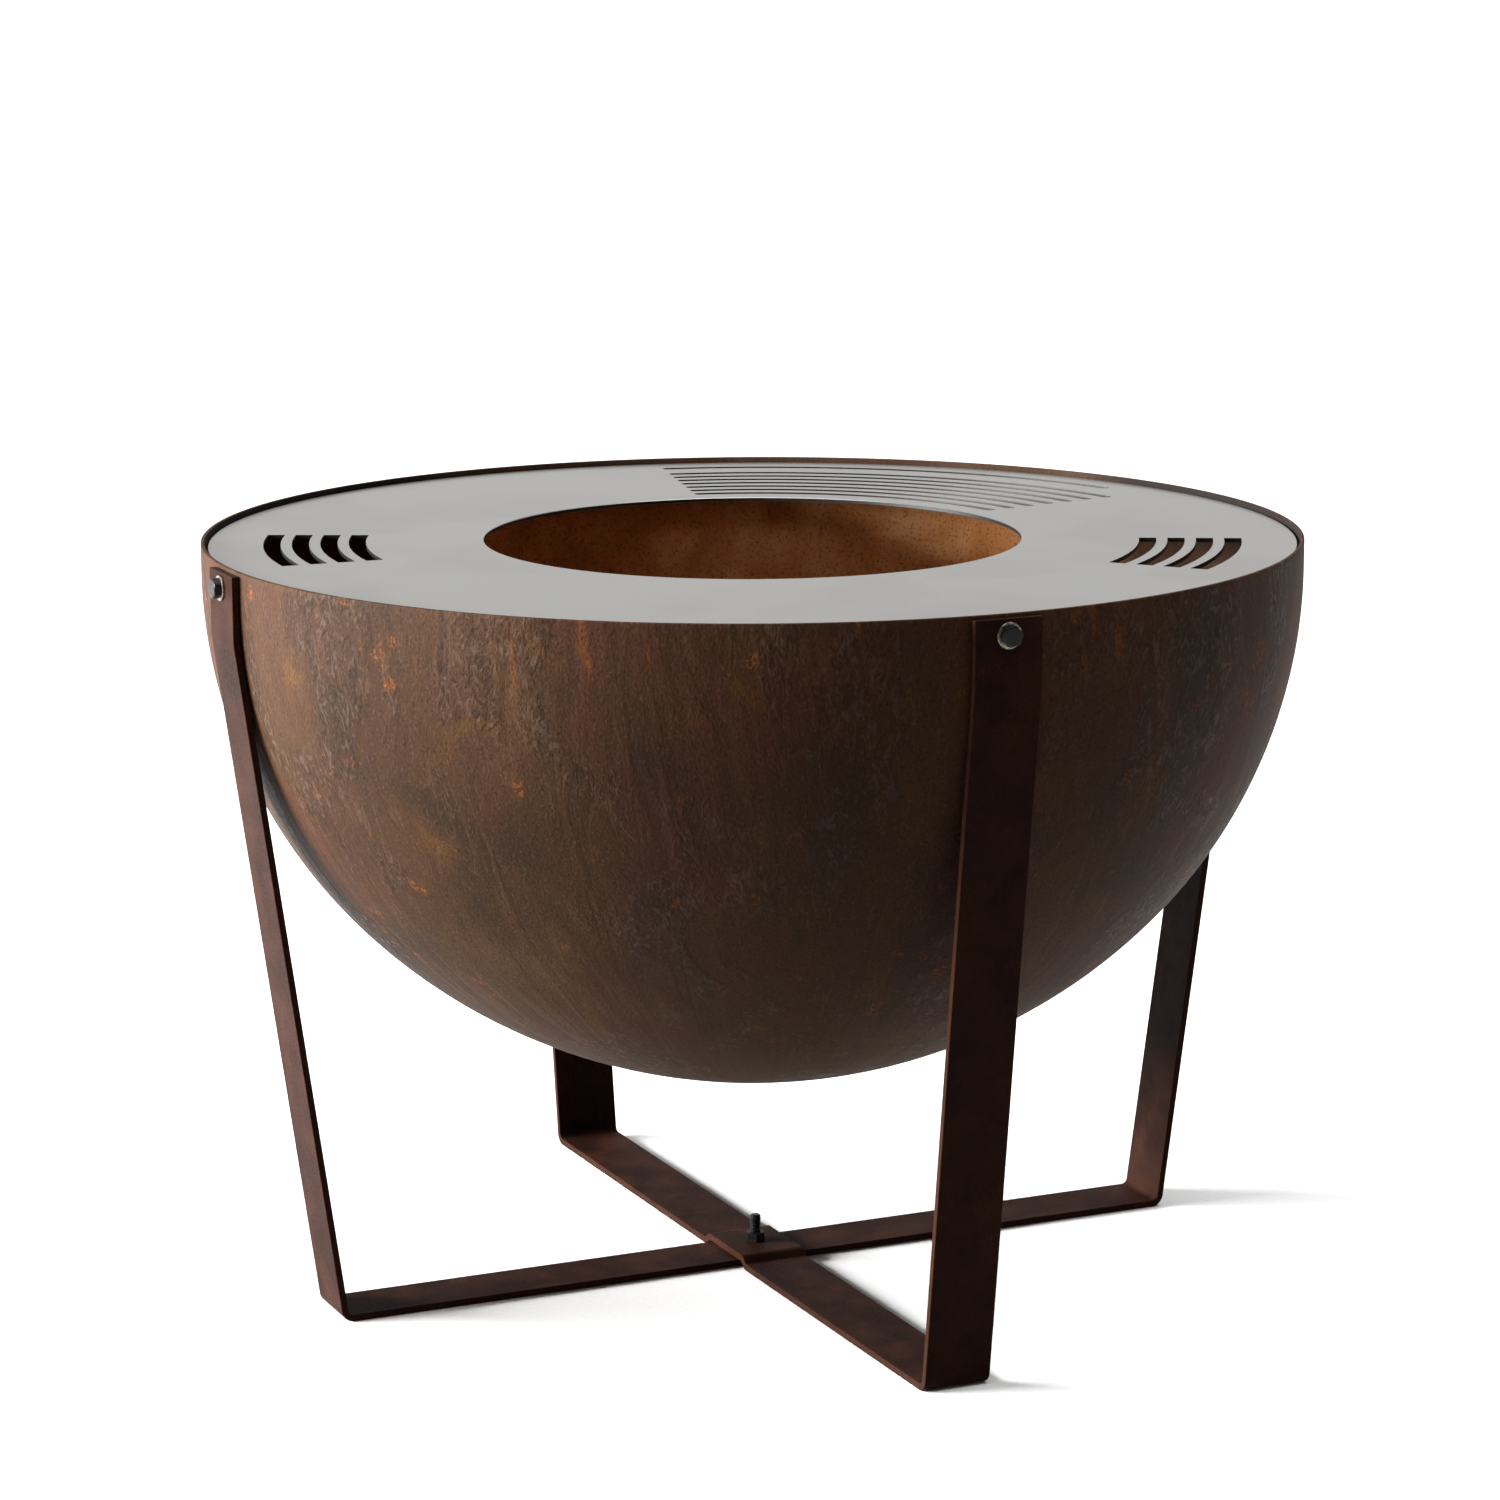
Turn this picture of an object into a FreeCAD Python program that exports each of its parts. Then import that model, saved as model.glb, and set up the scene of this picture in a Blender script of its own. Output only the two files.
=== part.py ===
"""Fire bowl on a crossed strap stand, with a loose griddle plate lying inside its rim.

Millimetres. +Z is up, and the origin is on the floor under the crossing of the two straps.
The lower strap runs along X, from the left leg (-X) to the right leg (+X). The upper strap
runs along Y, from the front leg (-Y) to the back leg (+Y), and steps over the lower one.
Each piece of the real object is one solid in its own file, parts/NODE.step.
"""
import FreeCAD
import Part

import math
import os

from FreeCAD import Vector

# ---- bowl: pressed steel, a short upright band at the rim above a deep round bottom ----
bowl_outer_diameter = 800.0
bowl_depth = 402.0            # rim to the lowest point outside
bowl_wall = 3.0
rim_height = 550.0            # floor to rim
rim_edge_break = 0.7          # chamfer on both edges of the rim

# ---- stand: two bent straps of flat bar ----
strap_width = 50.0
lower_strap_thickness = 5.0
upper_strap_thickness = 5.0
strap_edge_break = 0.6        # rounded long edges of rolled flat bar
tab_drop = 2.5                # rim down to the top of a leg
foot_inset = 64.0             # how far a foot's outer corner stands inside the bowl's outer circle
leg_gap = 0.4                 # between a slanting leg and the bowl where they come closest
bend_radius = 4.5             # inside radius of the foot and tab bends
step_bend_radius = 3.0        # inside radius of the step bends
step_slope = 7.0              # length along the floor in which the upper strap steps up
step_clearance = 4.0          # lower strap's edge to the start of the step, each side

# ---- M8 fasteners ----
bolt_diameter = 8.0
bolt_hole_gap = 1.0           # a bolt's hole is this much wider than the bolt
washer_hole_gap = 0.4         # and a washer's hole this much
bolt_end_chamfer = 1.0
hex_across_flats = 13.0
bolt_head_height = 5.3
nut_height = 6.8
leg_bolt_overhang = 1.9       # thread past the nut
leg_bolt_drop = 13.5          # rim down to the bolt's centre
outer_washer_diameter = 18.0
inner_washer_diameter = 16.0
washer_thickness = 1.6
washer_edge_break = 0.25
centre_bolt_overhang = 13.4   # a good length of thread stands out above the centre nut
centre_head_recess = 0.2      # the flush head lies this far above the floor
centre_nut_turn = 12.0        # degrees
head_turns = {"right": 11.0, "back": 24.0, "left": 4.0, "front": 17.0}   # degrees, as tightened

# ---- griddle plate: a flat ring that rests on the four leg nuts ----
plate_thickness = 3.0
plate_washer_gap = 0.4        # plate's edge to the faces of the inner washers
plate_ring_width = 199.0      # plate's edge to the edge of the fire opening
plate_edge_break = 0.4
plate_turn = 63.0             # degrees: how the loose plate happens to lie in the bowl

# side slots: two mirrored groups of arcs with square ends
side_slot_count = 4
side_slot_width = 12.5
side_slot_pitch = 20.5
side_slot_outer_margin = 46.0     # plate's edge to the outer slot's centre line
side_slot_span = 24.0             # degrees that a slot covers
side_slot_centre = 102.5          # degrees from the plate's axis to a group's centre

# grate: long narrow arcs with round ends
grate_slot_count = 7
grate_slot_width = 8.0
grate_inner_margin = 24.0         # hole's edge to the inner slot's centre line
grate_outer_margin = 29.0         # plate's edge to the single outer slot's centre line
grate_outer_gap = 32.0            # the outer slot's centre line to that of the next slot in
grate_start = -52.0               # degrees from the plate's axis
grate_end = 13.5
grate_outer_start = -46.0

# ---- worked out from the sizes above ----
bowl_outer_radius = bowl_outer_diameter / 2
bowl_inner_radius = bowl_outer_radius - bowl_wall
leg_bolt_height = rim_height - leg_bolt_drop
band_foot = leg_bolt_height - inner_washer_diameter / 2     # the upright band holds the washers

# the bowl's two arcs are tangent where both slope at 45 degrees: the shoulder's centre lies level
# with the foot of the band, and the bottom's on the axis
bottom_below_band = bowl_depth - (rim_height - band_foot)
ROOT = math.sqrt(2)
shoulder_radius = (bottom_below_band + bowl_outer_radius * (1 - ROOT)) / (2 - ROOT)
shoulder_centre = bowl_outer_radius - shoulder_radius
bottom_radius = bottom_below_band + shoulder_centre

foot_half_span = bowl_outer_radius - foot_inset
clearance_hole = bolt_diameter + bolt_hole_gap
washer_hole = bolt_diameter + washer_hole_gap
centre_head_diameter = 2 * bolt_diameter
inner_seat = math.sqrt(bowl_inner_radius ** 2 - (inner_washer_diameter / 2) ** 2)
plate_radius = inner_seat - washer_thickness - plate_washer_gap
plate_hole_radius = plate_radius - plate_ring_width
plate_underside = leg_bolt_height + hex_across_flats / 2
grate_first = plate_hole_radius + grate_inner_margin
grate_last = plate_radius - grate_outer_margin - grate_outer_gap
grate_slot_pitch = (grate_last - grate_first) / (grate_slot_count - 1)
LEG_ANGLES = {"right": 0.0, "back": 90.0, "left": 180.0, "front": 270.0}
UP = Vector(0, 0, 1)
ORIGIN = Vector(0, 0, 0)


def save(name, shape):
    """Write one piece to its own STEP file."""
    os.makedirs("parts", exist_ok=True)
    solids = shape.Solids
    if len(solids) != 1 or not shape.isValid():
        raise ValueError(f"{name}: {len(solids)} solids, valid {shape.isValid()}")
    solids[0].exportStep(f"parts/{name}.step")


def turned(shape, degrees):
    """A copy of a shape, turned about the upright axis."""
    copy = shape.copy()
    copy.rotate(ORIGIN, UP, degrees)
    return copy


# ------------------------------------------------------------------ outlines
def unit(a, b):
    """Direction from a to b, for points (x, z)."""
    length = math.hypot(b[0] - a[0], b[1] - a[1])
    return ((b[0] - a[0]) / length, (b[1] - a[1]) / length)


def offset_left(points, distance):
    """The open line through the points, moved to its left, with mitred corners."""
    moved = []
    last = len(points) - 1
    for i, point in enumerate(points):
        before = unit(points[max(i - 1, 0)], points[max(i, 1)])
        after = unit(points[min(i, last - 1)], points[min(i + 1, last)])
        normal = (-before[1] - after[1], before[0] + after[0])
        size = math.hypot(*normal)
        normal = (normal[0] / size, normal[1] / size)
        reach = distance / (-normal[0] * before[1] + normal[1] * before[0])
        moved.append((point[0] + normal[0] * reach, point[1] + normal[1] * reach))
    return moved


def turns_left(points):
    """For each inner corner of an open line, whether the line turns left there."""
    turns = []
    for a, b, c in zip(points, points[1:], points[2:]):
        u = unit(a, b)
        v = unit(b, c)
        turns.append(u[0] * v[1] - u[1] * v[0] > 0)
    return turns


def rounded_edges(points, radii):
    """Edges of an open line in the XZ plane with its inner corners rounded."""
    edges = []
    start = points[0]
    for i, radius in enumerate(radii, start=1):
        corner = points[i]
        back = unit(corner, points[i - 1])
        ahead = unit(corner, points[i + 1])
        half_angle = math.acos(back[0] * ahead[0] + back[1] * ahead[1]) / 2
        cut = radius / math.tan(half_angle)
        middle = unit((0, 0), (back[0] + ahead[0], back[1] + ahead[1]))
        reach = radius / math.sin(half_angle) - radius
        first = (corner[0] + back[0] * cut, corner[1] + back[1] * cut)
        second = (corner[0] + ahead[0] * cut, corner[1] + ahead[1] * cut)
        top = (corner[0] + middle[0] * reach, corner[1] + middle[1] * reach)
        edges.append(line_edge(start, first))
        edges.append(Part.Arc(at(first), at(top), at(second)).toShape())
        start = second
    edges.append(line_edge(start, points[-1]))
    return edges


def at(point):
    """A point (x, z) as a vector in the XZ plane."""
    return Vector(point[0], 0, point[1])


def line_edge(a, b):
    """A straight edge in the XZ plane."""
    return Part.makeLine(at(a), at(b))


def revolved(edges):
    """A solid of revolution about Z from a closed outline in the XZ plane."""
    return Part.Face(Part.Wire(edges)).revolve(ORIGIN, UP, 360)


# ------------------------------------------------------------------ bowl
def bowl_curve(inset):
    """Shoulder and bottom arcs of the bowl, both moved inwards by inset."""
    shoulder_point = arc_point(shoulder_centre, band_foot, shoulder_radius - inset)
    bottom_point = arc_point(0, band_foot + shoulder_centre, bottom_radius - inset)
    side = shoulder_point(0)
    meeting = shoulder_point(45)
    return [
        Part.Arc(at(side), at(shoulder_point(22.5)), at(meeting)).toShape(),
        Part.Arc(at(meeting), at(bottom_point(67.5)), at(bottom_point(90))).toShape(),
    ]


def arc_point(x, z, radius):
    """A function that gives the point on a circle at an angle below the horizontal."""
    def point(degrees):
        angle = math.radians(degrees)
        return (x + radius * math.cos(angle), z - radius * math.sin(angle))
    return point


def make_bowl():
    """Open steel bowl: upright band above a round bottom, with four bolt holes."""
    edge = rim_edge_break
    top = rim_height
    outer = bowl_outer_radius
    inner = bowl_inner_radius
    low = rim_height - bowl_depth
    rim = [(outer, band_foot), (outer, top - edge), (outer - edge, top)]
    rim += [(inner + edge, top), (inner, top - edge), (inner, band_foot)]
    edges = [line_edge(a, b) for a, b in zip(rim, rim[1:])]
    edges += bowl_curve(0)
    edges += bowl_curve(bowl_wall)
    edges.append(line_edge((0, low), (0, low + bowl_wall)))
    bowl = revolved(Part.__sortEdges__(edges))
    return bowl.cut(Part.makeCompound([leg_bolt_hole(angle) for angle in LEG_ANGLES.values()]))


def leg_bolt_hole(angle):
    """Clearance cylinder through the rim and a leg's tab."""
    start = Vector(bowl_outer_radius - 40, 0, leg_bolt_height)
    return turned(Part.makeCylinder(clearance_hole / 2, 80, start, Vector(1, 0, 0)), angle)


# ------------------------------------------------------------------ stand
def leg_corners(thickness):
    """Outer corners of one leg, from the tab's top down to the foot, at +X.

    The leg's outer face is tangent to a circle round the shoulder's centre, so that its inner
    face passes the bowl by leg_gap. The tab starts where that line reaches the tab's face.
    """
    face = bowl_outer_radius + thickness
    circle = shoulder_radius + thickness + leg_gap
    across = foot_half_span - shoulder_centre
    tilt = math.atan2(band_foot, across) - math.acos(circle / math.hypot(band_foot, across))
    tab_foot = (face - foot_half_span) / math.tan(tilt)
    return [(face, rim_height - tab_drop), (face, tab_foot), (foot_half_span, 0.0)]


def bent_strap(outline, thickness, radii):
    """A flat bar bent along an outline, which is its outer or lower face."""
    turns = turns_left(outline)
    inner = offset_left(outline, thickness)
    outer_radii = [r + thickness if left else r for r, left in zip(radii, turns)]
    inner_radii = [r if left else r + thickness for r, left in zip(radii, turns)]
    edges = rounded_edges(outline, outer_radii)
    edges.append(line_edge(outline[-1], inner[-1]))
    edges.extend(rounded_edges(inner[::-1], inner_radii[::-1]))
    edges.append(line_edge(inner[0], outline[0]))
    face = Part.Face(Part.Wire(edges))
    face.translate(Vector(0, -strap_width / 2, 0))
    bar = face.extrude(Vector(0, strap_width, 0))
    return bar.makeFillet(strap_edge_break, side_edges(bar))


def side_edges(bar):
    """The long edges of a bar: those that lie wholly in one of its two side planes."""
    chosen = []
    for edge in bar.Edges:
        box = edge.BoundBox
        if box.YLength < 0.01 and abs(abs(box.YMin) - strap_width / 2) < 0.01:
            chosen.append(edge)
    return chosen


def make_lower_strap():
    """U-shaped strap along X, with a countersunk hole where the straps cross."""
    right = leg_corners(lower_strap_thickness)
    left = [(-x, z) for x, z in right]
    outline = left + right[::-1]
    bar = bent_strap(outline, lower_strap_thickness, [bend_radius] * (len(outline) - 2))
    head_radius = centre_head_diameter / 2
    sink = Part.makeCone(head_radius + centre_head_recess, 0, head_radius + centre_head_recess)
    hole = Part.makeCylinder(clearance_hole / 2, lower_strap_thickness + 2, Vector(0, 0, -1))
    return bar.cut(Part.makeCompound([sink, hole, leg_bolt_hole(0), leg_bolt_hole(180)]))


def make_upper_strap():
    """U-shaped strap along Y, which steps up over the lower strap at the crossing."""
    right = leg_corners(upper_strap_thickness)
    step_top = strap_width / 2 + step_clearance
    step_foot = step_top + step_slope
    right = right + [(step_foot, 0.0), (step_top, lower_strap_thickness)]
    left = [(-x, z) for x, z in right]
    outline = left + right[::-1]
    side_radii = [bend_radius, bend_radius, step_bend_radius, step_bend_radius]
    bar = bent_strap(outline, upper_strap_thickness, side_radii + side_radii[::-1])
    hole_height = lower_strap_thickness + upper_strap_thickness
    hole = Part.makeCylinder(clearance_hole / 2, hole_height, Vector(0, 0, 1))
    bar = bar.cut(Part.makeCompound([hole, leg_bolt_hole(0), leg_bolt_hole(180)]))
    return turned(bar, 90)


# ------------------------------------------------------------------ fasteners
def hexagon(across_flats, height):
    """A hexagonal prism on the XY plane with two flats facing +Y and -Y."""
    radius = across_flats / math.sqrt(3)
    corners = []
    for k in range(7):
        angle = math.radians(60 * k)
        corners.append(Vector(radius * math.cos(angle), radius * math.sin(angle), 0))
    return Part.Face(Part.makePolygon(corners)).extrude(Vector(0, 0, height))


def corner_cone(height, crown_both_ends):
    """The body that rounds off a hexagon's corners at its outer end, or at both."""
    radius = hex_across_flats / 2
    corner = hex_across_flats / math.sqrt(3) + 0.01
    fall = (corner - radius * 0.96) * math.tan(math.radians(30))
    points = [(0, height), (radius * 0.96, height), (corner, height - fall)]
    if crown_both_ends:
        points += [(corner, fall), (radius * 0.96, 0), (0, 0)]
    else:
        points += [(corner, 0), (0, 0)]
    return revolved(Part.makePolygon([at(p) for p in points + points[:1]]).Edges)


def hex_head(height):
    """A bolt's hexagonal head on the XY plane, crowned on top."""
    return hexagon(hex_across_flats, height).common(corner_cone(height, False))


def hex_nut():
    """A hexagonal nut on the XY plane, crowned at both ends."""
    body = hexagon(hex_across_flats, nut_height).common(corner_cone(nut_height, True))
    return body.cut(Part.makeCylinder(bolt_diameter / 2, nut_height))


def shank(length):
    """A bolt's shank upwards from the XY plane, with a chamfered end."""
    radius = bolt_diameter / 2
    chamfer = bolt_end_chamfer
    points = [(0, 0), (radius, 0), (radius, length - chamfer), (radius - chamfer, length), (0, length)]
    return revolved(Part.makePolygon([at(p) for p in points + points[:1]]).Edges)


def washer(outer_diameter):
    """A flat washer on the XY plane with softened outer edges."""
    edge = washer_edge_break
    inner = washer_hole / 2
    outer = outer_diameter / 2
    high = washer_thickness
    points = [(inner, 0), (outer - edge, 0), (outer, edge), (outer, high - edge)]
    points += [(outer - edge, high), (inner, high), (inner, 0)]
    return revolved(Part.makePolygon([at(p) for p in points]).Edges)


def facing_out(shape, distance, leg):
    """Lay a piece made along +Z so that it points out through the rim at a leg."""
    copy = shape.copy()
    copy.rotate(ORIGIN, Vector(0, 1, 0), 90)
    copy.translate(Vector(distance, 0, leg_bolt_height))
    return turned(copy, LEG_ANGLES[leg])


def facing_in(shape, distance, leg):
    """Lay a piece made along +Z so that it points in through the rim at a leg."""
    copy = shape.copy()
    copy.rotate(ORIGIN, Vector(0, 1, 0), -90)
    copy.translate(Vector(distance, 0, leg_bolt_height))
    return turned(copy, LEG_ANGLES[leg])


def tab_face(leg):
    """Distance from the centre to the outer face of a leg's tab."""
    lower = leg in ("left", "right")
    return bowl_outer_radius + (lower_strap_thickness if lower else upper_strap_thickness)


def save_leg_fasteners(leg):
    """One leg's bolt, its two washers and its nut."""
    head_seat = tab_face(leg) + washer_thickness
    nut_seat = inner_seat - washer_thickness
    length = head_seat - nut_seat + nut_height + leg_bolt_overhang
    head = hex_head(bolt_head_height)
    head.rotate(ORIGIN, UP, head_turns[leg])
    bolt = facing_out(head, head_seat, leg).fuse(facing_in(shank(length), head_seat, leg))
    save(f"leg_bolt_{leg}", bolt.removeSplitter())
    save(f"outer_washer_{leg}", facing_out(washer(outer_washer_diameter), tab_face(leg), leg))
    save(f"inner_washer_{leg}", facing_in(washer(inner_washer_diameter), inner_seat, leg))
    nut = turned(hex_nut(), 90)      # one flat faces up, for the griddle plate to rest on
    save(f"leg_nut_{leg}", facing_in(nut, nut_seat, leg))


def make_centre_bolt():
    """Flush-headed bolt that points up through both straps."""
    head_radius = centre_head_diameter / 2
    head_depth = head_radius - bolt_diameter / 2
    head = Part.makeCone(head_radius, bolt_diameter / 2, head_depth)
    nut_top = lower_strap_thickness + upper_strap_thickness + nut_height
    length = nut_top + centre_bolt_overhang - centre_head_recess
    bolt = head.fuse(shank(length)).removeSplitter()
    bolt.translate(Vector(0, 0, centre_head_recess))
    return bolt


def make_centre_nut():
    """Nut on top of the crossing."""
    nut = hex_nut()
    nut.rotate(ORIGIN, UP, centre_nut_turn)
    nut.translate(Vector(0, 0, lower_strap_thickness + upper_strap_thickness))
    return nut


# ------------------------------------------------------------------ griddle plate
def arc_slot(radius, width, start, end, round_ends):
    """A cutter for one slot that follows a circle from start to end, in degrees."""
    low = plate_underside - 1
    high = plate_thickness + 2
    base = Vector(0, 0, low)
    outer = Part.makeCylinder(radius + width / 2, high, base, UP, end - start)
    inner = Part.makeCylinder(radius - width / 2, high + 2, Vector(0, 0, low - 1))
    cutter = turned(outer.cut(inner), start)
    if not round_ends:
        return cutter
    for angle in (start, end):
        cap = Part.makeCylinder(width / 2, high, Vector(radius, 0, low))
        cutter = cutter.fuse(turned(cap, angle))
    return cutter


def side_slots():
    """Cutters for both groups of wide slots."""
    cutters = []
    for side in (-1, 1):
        centre = side * side_slot_centre
        for k in range(side_slot_count):
            radius = plate_radius - side_slot_outer_margin - k * side_slot_pitch
            start = centre - side_slot_span / 2
            end = centre + side_slot_span / 2
            cutters.append(arc_slot(radius, side_slot_width, start, end, False))
    return cutters


def grate_slots():
    """Cutters for the long narrow slots."""
    cutters = []
    for k in range(grate_slot_count):
        radius = grate_first + k * grate_slot_pitch
        cutters.append(arc_slot(radius, grate_slot_width, grate_start, grate_end, True))
    radius = plate_radius - grate_outer_margin
    cutters.append(arc_slot(radius, grate_slot_width, grate_outer_start, grate_end, True))
    return cutters


def make_griddle_plate():
    """Flat ring with a round fire opening, side slots and a grate of narrow slots."""
    low = plate_underside
    high = plate_underside + plate_thickness
    edge = plate_edge_break
    inner = plate_hole_radius
    outer = plate_radius
    points = [(inner, low + edge), (inner + edge, low), (outer - edge, low), (outer, low + edge)]
    points += [(outer, high - edge), (outer - edge, high), (inner + edge, high), (inner, high - edge)]
    ring = revolved(Part.makePolygon([at(p) for p in points + points[:1]]).Edges)
    plate = ring.cut(Part.makeCompound(side_slots() + grate_slots()))
    return turned(plate, plate_turn)


def main():
    """Build every piece and write its file."""
    save("bowl", make_bowl())
    save("lower_strap", make_lower_strap())
    save("upper_strap", make_upper_strap())
    save("griddle_plate", make_griddle_plate())
    save("centre_bolt", make_centre_bolt())
    save("centre_nut", make_centre_nut())
    for leg in LEG_ANGLES:
        save_leg_fasteners(leg)


main()
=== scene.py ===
"""Looks of a fire bowl on a crossed strap stand, with a loose griddle plate inside its rim.

Metres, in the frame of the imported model: +Z is up, the lower strap runs along X and the upper
strap along Y. The bowl and the bolts are new surfaces on grids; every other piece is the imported
node itself with a better finish.
"""
import logging  # noqa: E402
import math  # noqa: E402
from dataclasses import dataclass, field  # noqa: E402
from enum import Enum  # noqa: E402
from functools import reduce  # noqa: E402
from typing import Any, Mapping, Sequence  # noqa: E402

import bpy  # noqa: E402
import numpy as np  # noqa: E402
from mathutils import Matrix, Vector  # noqa: E402


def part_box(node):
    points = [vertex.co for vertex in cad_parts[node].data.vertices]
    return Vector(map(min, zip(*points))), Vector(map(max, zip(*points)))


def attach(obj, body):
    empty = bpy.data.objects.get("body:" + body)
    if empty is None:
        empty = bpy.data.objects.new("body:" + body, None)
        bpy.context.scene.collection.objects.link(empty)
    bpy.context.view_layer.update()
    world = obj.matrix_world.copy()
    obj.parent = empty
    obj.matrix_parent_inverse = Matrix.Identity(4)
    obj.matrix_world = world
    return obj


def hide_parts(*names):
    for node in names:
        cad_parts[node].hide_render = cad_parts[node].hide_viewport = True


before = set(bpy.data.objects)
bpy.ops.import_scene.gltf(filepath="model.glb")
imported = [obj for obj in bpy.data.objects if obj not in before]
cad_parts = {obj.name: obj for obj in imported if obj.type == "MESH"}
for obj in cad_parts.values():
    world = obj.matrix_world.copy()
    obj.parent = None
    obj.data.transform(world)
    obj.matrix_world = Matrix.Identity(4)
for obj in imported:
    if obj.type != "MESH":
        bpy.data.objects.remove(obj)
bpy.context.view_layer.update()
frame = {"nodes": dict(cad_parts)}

log = logging.getLogger("fire_bowl")
MM = 0.001
ROOT_BODY = "bowl_and_stand"


class Axis(Enum):
    """A level axis of the frame, by its place in a coordinate."""

    X = 0
    Y = 1


class Leg(Enum):
    """The four legs, with the direction in degrees in which each stands."""

    RIGHT = 0.0
    BACK = 90.0
    LEFT = 180.0
    FRONT = 270.0

    @property
    def word(self) -> str:
        """The leg's name as the nodes spell it."""
        return self.name.lower()


def linear(hex_colour: str) -> tuple[float, float, float, float]:
    """Turn an sRGB hex colour into linear light.

    Args:
        hex_colour: Six hex digits after a hash sign.

    Returns:
        Red, green, blue and a full alpha.
    """
    parts = [int(hex_colour[i:i + 2], 16) / 255 for i in (1, 3, 5)]
    straight = [c / 12.92 if c <= 0.04045 else ((c + 0.055) / 1.055) ** 2.4 for c in parts]
    return (*straight, 1.0)


# ------------------------------------------------------------------ node trees
class Kind(Enum):
    """The types of node in use, with Blender's names for them."""

    PLACE = "ShaderNodeTexCoord"
    SHAPE = "ShaderNodeNewGeometry"
    APART = "ShaderNodeSeparateXYZ"
    JOINED = "ShaderNodeCombineXYZ"
    TURNED = "ShaderNodeVectorRotate"
    VECTOR = "ShaderNodeVectorMath"
    MATH = "ShaderNodeMath"
    NOISE = "ShaderNodeTexNoise"
    RANGE = "ShaderNodeMapRange"
    RAMP = "ShaderNodeValToRGB"
    MIX = "ShaderNodeMix"
    BUMP = "ShaderNodeBump"
    SURFACE = "ShaderNodeBsdfPrincipled"
    OUTPUT = "ShaderNodeOutputMaterial"


USUAL: dict[Kind, dict[str, str]] = {
    Kind.MATH: {"operation": "MULTIPLY"},
    Kind.VECTOR: {"operation": "MULTIPLY"},
    Kind.RANGE: {"interpolation_type": "SMOOTHSTEP"},
    Kind.MIX: {"data_type": "RGBA"},
}
Socket = bpy.types.NodeSocket


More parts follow.
